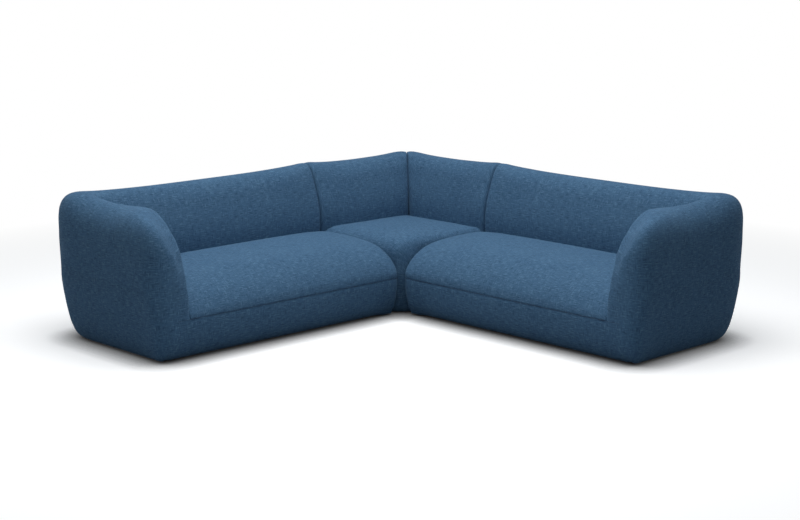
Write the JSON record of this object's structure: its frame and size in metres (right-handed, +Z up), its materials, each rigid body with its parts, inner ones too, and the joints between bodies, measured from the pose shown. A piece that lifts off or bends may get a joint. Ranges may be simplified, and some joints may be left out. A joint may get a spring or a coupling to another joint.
{
  "type": "corner sofa",
  "caption": "Low L-shaped corner sofa in blue woven cloth: plump continuous back, rolled arms, thick seat cushions over plain fronts that nearly reach the floor.",
  "frame": {"origin": "on the floor, at the centre of the outline that the sofa covers", "axes": "+Z up; the right wing's back runs along X at the +Y side, the left wing's back along Y at the -X side, and both seats face the open corner at +X, -Y"},
  "size_m": [2.5502, 2.5502, 0.766],
  "materials": {
    "blue_cloth": "matte woven cloth with a slub",
    "foam": "matte open-cell foam",
    "felt": "matte pressed felt",
    "webbing": "matte elastic webbing",
    "dust_cloth": "matte thin non-woven cloth",
    "timber": "planed softwood",
    "board": "raw thin plywood",
    "steel": "zinc plated",
    "glide_plastic": "matte moulded"
  },
  "bodies": {
    "corner_module": {"corner_base_frame": "timber", "corner_feet": "glide_plastic", "corner_foot_screws": "steel", "corner_dust_cover": "dust_cloth", "corner_link_catches": "steel", "corner_link_screws": "steel", "corner_back_frame": "timber", "corner_back_panels": "board", "corner_back_webbing": "webbing", "corner_right_back_foam": "foam", "corner_left_back_foam": "foam", "corner_right_back_cover": "blue_cloth", "corner_left_back_cover": "blue_cloth", "corner_seat_webbing": "webbing", "corner_seat_felt": "felt", "corner_seat_foam": "foam", "corner_seat_cover": "blue_cloth", "corner_right_apron": "blue_cloth", "corner_left_apron": "blue_cloth"},
    "right_module": {"right_base_frame": "timber", "right_feet": "glide_plastic", "right_foot_screws": "steel", "right_dust_cover": "dust_cloth", "right_link_hooks": "steel", "right_link_screws": "steel", "right_back_frame": "timber", "right_back_panel": "board", "right_back_webbing": "webbing", "right_back_foam": "foam", "right_back_cover": "blue_cloth", "right_arm_frame": "timber", "right_arm_foam": "foam", "right_arm_cover": "blue_cloth", "right_seat_webbing": "webbing", "right_seat_felt": "felt", "right_seat_foam": "foam", "right_seat_cover": "blue_cloth", "right_front_apron": "blue_cloth", "right_end_apron": "blue_cloth"},
    "left_module": {"left_base_frame": "timber", "left_feet": "glide_plastic", "left_foot_screws": "steel", "left_dust_cover": "dust_cloth", "left_link_hooks": "steel", "left_link_screws": "steel", "left_back_frame": "timber", "left_back_panel": "board", "left_back_webbing": "webbing", "left_back_foam": "foam", "left_back_cover": "blue_cloth", "left_arm_frame": "timber", "left_arm_foam": "foam", "left_arm_cover": "blue_cloth", "left_seat_webbing": "webbing", "left_seat_felt": "felt", "left_seat_foam": "foam", "left_seat_cover": "blue_cloth", "left_front_apron": "blue_cloth", "left_end_apron": "blue_cloth"}
  },
  "joints": [
    {"name": "right_module_lift", "type": "slide", "parent": "corner_module", "child": "right_module", "axis": [0, 0, 1], "range_m": [0, 0.06]},
    {"name": "left_module_lift", "type": "slide", "parent": "corner_module", "child": "left_module", "axis": [0, 0, 1], "range_m": [0, 0.06]}
  ]
}
